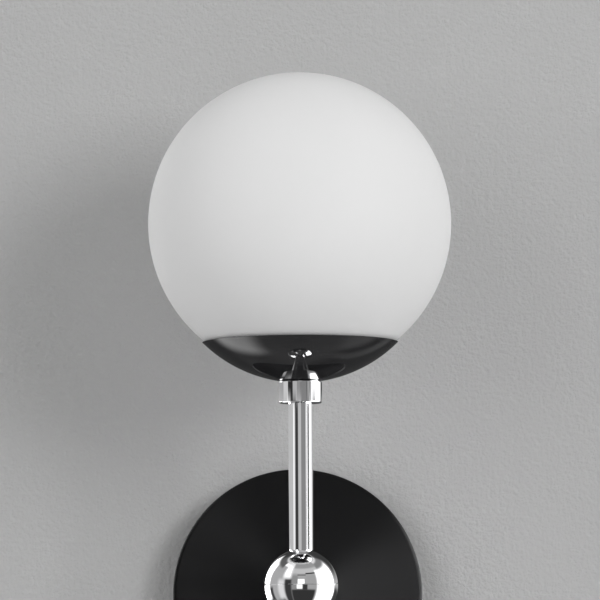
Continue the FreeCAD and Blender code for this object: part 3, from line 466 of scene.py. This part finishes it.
def make_globe():
    """Blown globe: one even wall, and a fire-polished lip round the opening below."""
    inner = GLOBE_RADIUS - GLOBE_WALL
    low_outer = math.degrees(math.asin(GLOBE_OPENING_RADIUS / GLOBE_RADIUS)) - 90
    low_inner = math.degrees(math.asin(GLOBE_OPENING_RADIUS / inner)) - 90
    outside = arc((0, 0), GLOBE_RADIUS, low_outer + GLOBE_LIP_REACH, 90, GLOBE_ARC_STEPS)
    inside = arc((0, 0), inner, 90, low_inner + GLOBE_LIP_REACH, GLOBE_ARC_STEPS)
    outside[-1] = (0.0, GLOBE_RADIUS)
    inside[0] = (0.0, inner)
    start, end = Vector(inside[-1]), Vector(outside[0])
    corner = Vector((GLOBE_OPENING_RADIUS - GLOBE_LIP_OFFSET,
                     (start.y + end.y) / 2 - GLOBE_LIP_OFFSET))
    lip = bend(start, corner, end, GLOBE_LIP_STEPS)[1:-1]
    place = Matrix.Translation(STEM_AXIS + Vector((0, 0, GLOBE_CENTRE)))
    turned("globe_glass", outside + inside + lip, place, "glass_globe", "opal_glass",
           steps=LARGE_TURN_STEPS, sharp=GLOBE_SHARP_ANGLE)


def dish_centre_height(rim, seat, depth):
    """Height of the dish's sphere over its rim, from the two radii that it runs between and its
    depth."""
    return (rim ** 2 - seat ** 2 - depth ** 2) / (2 * depth)


def make_dish():
    """Spun dish: a flat seat, a shell that is part of a sphere, and a rolled lip."""
    low, high = span("globe_dish", 2)
    rim, depth = half_width("globe_dish"), high - low
    rise = dish_centre_height(rim, DISH_SEAT_RADIUS, depth)
    centre, outer = (0.0, high + rise), math.hypot(rim, rise)
    inner, floor = outer - DISH_WALL, low + DISH_WALL
    outer_seat = math.degrees(math.asin(DISH_SEAT_RADIUS / outer)) - 90
    outer_rim = math.degrees(math.atan2(-rise, rim))
    inner_rim = math.degrees(math.asin(-rise / inner))
    inner_seat = -math.degrees(math.asin((centre[1] - floor) / inner))
    outside = arc(centre, outer, outer_seat, outer_rim - DISH_LIP_REACH, DISH_ARC_STEPS)
    inside = arc(centre, inner, inner_rim - DISH_LIP_REACH, inner_seat, DISH_ARC_STEPS)
    lip_centre = ((outside[-1][0] + inside[0][0]) / 2, high - DISH_LIP_RADIUS)
    lip = arc(lip_centre, DISH_LIP_RADIUS, 10, 170, DISH_LIP_STEPS)
    profile = [(NIPPLE_HOLE_RADIUS, low)] + outside + lip + inside + [(NIPPLE_HOLE_RADIUS, floor)]
    turned("dish_shell", profile, UPRIGHT, "globe_dish", "polished_black", steps=LARGE_TURN_STEPS)


def make_collar():
    low, high = span("stem_collar", 2)
    radius, cut = half_width("stem_collar"), COLLAR_CHAMFER
    profile = [(NIPPLE_HOLE_RADIUS, low), (radius - cut, low), (radius, low + cut),
               (radius, high - cut), (radius - cut, high), (NIPPLE_HOLE_RADIUS, high)]
    turned("collar_ring", softened(profile, COLLAR_ROUNDING), UPRIGHT, "stem_collar",
           "polished_chrome")


def tube_profile(start, end):
    inner = TUBE_RADIUS - TUBE_WALL
    return softened([(inner, start), (TUBE_RADIUS, start), (TUBE_RADIUS, end), (inner, end)],
                    TUBE_ROUNDING)


def make_tubes():
    low, high = span("stem_tube", 2)
    turned("stem_rod", tube_profile(low, high), UPRIGHT, "stem_tube", "polished_chrome")
    front, back = span("arm_tube", 1)
    turned("arm_rod", tube_profile(-back, -front), FROM_WALL, "arm_tube", "polished_chrome")


def make_ball():
    """The ball with its spot face, where the stem stands on a narrow flat."""
    top_angle = math.degrees(math.acos((TUBE_RADIUS + SPOT_MARGIN) / BALL_RADIUS))
    sphere = arc((0, 0), BALL_RADIUS, -90, top_angle, BALL_ARC_STEPS)
    sphere[0] = (0.0, -BALL_RADIUS)
    top = sphere[-1][1]
    profile = sphere + [(TUBE_RADIUS - TUBE_WALL, top), (0.0, top)]
    turned("ball_shell", profile, UPRIGHT, "knuckle_ball", "polished_chrome", closed=False,
           steps=LARGE_TURN_STEPS, sharp=BALL_SHARP_ANGLE)


def make_backplate():
    """Pressed pan: an even wall, a rounded front edge and a hole for the arm's nipple."""
    outer, depth, edge = PLATE_RADIUS, PLATE_DEPTH, PLATE_EDGE
    corner = (outer - edge, depth - edge)
    profile = [(outer - PLATE_WALL, 0.0), (outer - PLATE_BACK_CHAMFER, 0.0),
               (outer, PLATE_BACK_CHAMFER)]
    profile += arc(corner, edge, 0, 90, PLATE_OUTER_STEPS)
    profile += [(NIPPLE_HOLE_RADIUS, depth), (NIPPLE_HOLE_RADIUS, depth - PLATE_WALL)]
    profile += arc(corner, edge - PLATE_WALL, 90, 0, PLATE_INNER_STEPS)
    turned("plate_pan", profile, FROM_WALL, "backplate", "satin_black", steps=LARGE_TURN_STEPS,
           sharp=PLATE_SHARP_ANGLE)


# ---- Floor and wall ----

WALL_COLOR = (0.51, 0.51, 0.51)
FLOOR_COLOR = (0.62, 0.62, 0.62)
WALL_GRAIN = 420
FLOOR_GRAIN = 40
STAGE_SIDE = 3.0
WALL_TOP = 3.0
FLOOR_LEVEL = -1.3
FLOOR_FRONT = -6


def stage_sheet(name, corners, color, grain_scale):
    """A painted sheet that is seen from its front only, so that views from behind it are free."""
    mesh = bpy.data.meshes.new(name)
    mesh.from_pydata([tuple(corner) for corner in corners], [], [(0, 1, 2, 3)])
    sheet = new_object(name, mesh)
    made, nodes, links, shader = new_material(name)
    grain = noise(nodes, links, grain_scale, detail=6.0, roughness=0.6)
    shader.inputs["Base Color"].default_value = (*color, 1)
    shader.inputs["Roughness"].default_value = 0.8
    shader.inputs["Specular IOR Level"].default_value = 0.2
    bump(nodes, links, shader, grain, 0.9, 0.0014)
    behind = nodes.new("ShaderNodeNewGeometry").outputs["Backfacing"]
    clear = nodes.new("ShaderNodeBsdfTransparent")
    both = mixed(nodes, links, behind, shader.outputs["BSDF"], clear.outputs["BSDF"])
    links.new(both, nodes["Material Output"].inputs["Surface"])
    mesh.materials.append(made)
    sheet.visible_shadow = False
    sheet.visible_glossy = False


def make_stage():
    side, low, top, front = STAGE_SIDE, FLOOR_LEVEL, WALL_TOP, FLOOR_FRONT
    stage_sheet("wall", [(-side, 0, low), (side, 0, low), (side, 0, top), (-side, 0, top)],
                WALL_COLOR, WALL_GRAIN)
    stage_sheet("floor", [(-side, front, low), (side, front, low), (side, 0, low),
                          (-side, 0, low)], FLOOR_COLOR, FLOOR_GRAIN)


# ---- What polished surfaces mirror: soft-edged panels of a studio ----

# Degrees. Azimuth runs from the front towards +X, elevation upwards. A row lies over those before
# it. Each row: azimuth from and to, elevation from and to, width of the soft edge, level.
ROOM_LEVEL = 0.45
PANELS = (
    # the room: left, right, overhead and the strip of ceiling that the softboxes' tops leave dark
    (-118, -58, -60, 34, 8, 0.47),
    (-78, -56, -40, 16, 14, 0.85),
    (120, 200, -12, 90, 8, 0.48),
    (-200, 200, 60, 90, 6, 0.85),
    (-170, -84, 44, 61, 10, 0.13),
    (66, 160, 46, 60, 10, 0.26),
    (-34, 64, 36, 52, 6, 0.62),
    (-36, 72, 54, 70, 9, 0.36),
    (128, 180, 14, 62, 18, 0.05),
    (-180, -138, 22, 60, 18, 0.05),
    # the camera's side: flag, screen and the gear beside the camera
    (-34, -12, -12, 30, 8, 0.32),
    (12, 48, -12, 30, 8, 0.42),
    (-54, -32, -90, 19, 8, 0.05),
    (-12, 9, 4, 19, 2, 1.60),
    (-15, 2, -10, 5, 2, 1.60),
    (3, 18, -14, 4, 5, 0.05),
    (14, 52, 34, 38, 2, 0.03),
    (-14, 14, 30, 33, 2, 0.12),
    # the floor: dark in front and behind, lit below
    (-32, 44, -90, -12, 8, 0.04),
    (-200, -100, -90, -1, 8, 0.06),
    (100, 200, -90, -1, 8, 0.06),
    (-200, -60, -90, -34, 14, 0.14),
    (60, 200, -90, -34, 14, 0.08),
    (-200, 200, -90, -58, 18, 0.26),
    # softboxes: a bright cloth with a hot core
    (49, 122, -44, 43, 8, 1.5),
    (62, 112, -34, 32, 12, 32.0),
    (-153, -114, -20, 42, 8, 1.5),
    (-147, -121, -12, 33, 10, 24.0),
    (-62, -35, 21, 61, 14, 1.3),
    (-54, -43, 31, 51, 9, 18.0),
    (-85, -50, 52, 61, 5, 1.3),
    (-146, -108, -60, -30, 16, 1.9),
    (108, 136, -62, -38, 14, 0.45),
    (145, 153, -62, -20, 6, 0.25),
)
# What stands level with the light, which only its upright surfaces mirror.
# Each row: azimuth from and to, width of the soft edge, level.
LEVEL_BAND = (2.2, 4.4)
LEVEL_PANELS = (
    (-180, -84, 1.5, 0.58),
    (-78, -62, 3, 1.10),
    (-52, -27, 3, 0.05),
    (-24, 4, 3, 0.60),
    (4, 47, 3, 0.28),
    (52, 64, 3, 0.76),
    (64, 90, 1, 0.20),
    (90, 128, 3, 1.25),
)
# The same in the top of that band, where the collar mirrors it.
# Each row: azimuth from and to, level.
COLLAR_BAND = (3.84, 4.4)
COLLAR_PANEL_EDGE = 0.2
COLLAR_PANELS = (
    (-180, -104, 0.40),
    (-104, -72, 0.68),
    (-72, -43, 0.03),
    (-43, -20, 0.52),
    (-20, -4, 0.32),
    (-4, 30, 0.25),
    (30, 37, 0.17),
    (37, 45, 0.42),
    (45, 57, 0.32),
    (57, 136, 1.25),
    (136, 180, 0.05),
)


def all_panels():
    rows = list(PANELS)
    rows += [(start, end, *LEVEL_BAND, edge, level) for start, end, edge, level in LEVEL_PANELS]
    rows += [(start, end, *COLLAR_BAND, COLLAR_PANEL_EDGE, level)
             for start, end, level in COLLAR_PANELS]
    return rows


def maths(nodes, links, operation, *values):
    """One math node, fed with numbers or with other nodes' outputs."""
    made = nodes.new("ShaderNodeMath")
    made.operation = operation
    for socket, value in zip(made.inputs, values):
        if isinstance(value, (int, float)):
            socket.default_value = value
        else:
            links.new(value, socket)
    return made.outputs["Value"]


def soft_step(nodes, links, value, edge, width, rising):
    made = nodes.new("ShaderNodeMapRange")
    made.interpolation_type = "SMOOTHSTEP"
    made.inputs["From Min"].default_value = edge - width / 2
    made.inputs["From Max"].default_value = edge + width / 2
    made.inputs["To Min"].default_value = 0.0 if rising else 1.0
    made.inputs["To Max"].default_value = 1.0 if rising else 0.0
    links.new(value, made.inputs["Value"])
    return made.outputs["Result"]


def soft_band(nodes, links, value, start, end, width):
    """1 between start and end, 0 outside, with soft edges."""
    return maths(nodes, links, "MULTIPLY", soft_step(nodes, links, value, start, width, True),
                 soft_step(nodes, links, value, end, width, False))


def studio_level(nodes, links):
    """The level of the studio in each direction, one panel laid over another. Up and down, a
    panel's soft edge is at most half its height."""
    direction = nodes.new("ShaderNodeTexCoord").outputs["Generated"]
    apart = nodes.new("ShaderNodeSeparateXYZ")
    links.new(direction, apart.inputs["Vector"])
    forward = maths(nodes, links, "MULTIPLY", apart.outputs["Y"], -1.0)
    around = maths(nodes, links, "ARCTAN2", apart.outputs["X"], forward)
    azimuth = maths(nodes, links, "DEGREES", around)
    elevation = maths(nodes, links, "DEGREES",
                      maths(nodes, links, "ARCSINE", apart.outputs["Z"]))
    level = None
    for az_from, az_to, el_from, el_to, edge, panel_level in all_panels():
        across = soft_band(nodes, links, azimuth, az_from, az_to, edge)
        up = soft_band(nodes, links, elevation, el_from, el_to, min(edge, (el_to - el_from) / 2))
        over = nodes.new("ShaderNodeMix")
        links.new(maths(nodes, links, "MULTIPLY", across, up), over.inputs["Factor"])
        over.inputs["A"].default_value = ROOM_LEVEL
        if level is not None:
            links.new(level, over.inputs["A"])
        over.inputs["B"].default_value = panel_level
        level = over.outputs["Result"]
    return level


# ---- World and lights ----

AMBIENT_LEVEL = 0.38
BACKDROP_LEVEL = 0.60

# Each row: name, place, side of the square, power in watts.
LIGHTS = (
    ("softbox_right", (1.39, -1.93, 0.72), 0.9, 24),
    ("softbox_left", (-1.5, -1.8, 0.75), 1.6, 14),
    ("fill_left", (-1.9, -0.30, -0.35), 0.8, 2.4),
    ("fill_right", (1.9, -0.30, -0.35), 0.8, 2.6),
)
LIGHT_AIM_HEIGHT = 0.1


def background(node, strength):
    node.inputs["Color"].default_value = (1, 1, 1, 1)
    node.inputs["Strength"].default_value = strength
    return node.outputs["Background"]


def make_world():
    """Even soft light all round; polished surfaces mirror the studio's panels; a camera sees plain
    grey."""
    world = bpy.data.worlds.new("studio")
    world.use_nodes = True
    nodes, links = world.node_tree.nodes, world.node_tree.links
    around = background(nodes["Background"], AMBIENT_LEVEL)
    backdrop = background(nodes.new("ShaderNodeBackground"), BACKDROP_LEVEL)
    studio = nodes.new("ShaderNodeBackground")
    mirrored = background(studio, ROOM_LEVEL)
    links.new(studio_level(nodes, links), studio.inputs["Strength"])
    ray = nodes.new("ShaderNodeLightPath")
    unseen = mixed(nodes, links, ray.outputs["Is Glossy Ray"], around, mirrored)
    seen = mixed(nodes, links, ray.outputs["Is Camera Ray"], unseen, backdrop)
    links.new(seen, nodes["World Output"].inputs["Surface"])
    bpy.context.scene.world = world


def make_lights():
    """Softboxes in front, and two weak fills that graze the wall. Polished surfaces mirror the
    studio's panels in their place."""
    aim = STEM_AXIS + Vector((0, 0, LIGHT_AIM_HEIGHT))
    for name, place, side, power in LIGHTS:
        data = bpy.data.lights.new(name, "AREA")
        data.shape = "SQUARE"
        data.size = side
        data.energy = power
        lamp = new_object(name, data)
        lamp.matrix_world = facing(Vector(place), aim)
        lamp.visible_glossy = False


bpy.context.scene.view_settings.view_transform = "Standard"
make_camera()
dress_cad_nodes()
make_globe()
make_dish()
make_collar()
make_tubes()
make_ball()
make_backplate()
make_stage()
make_world()
make_lights()
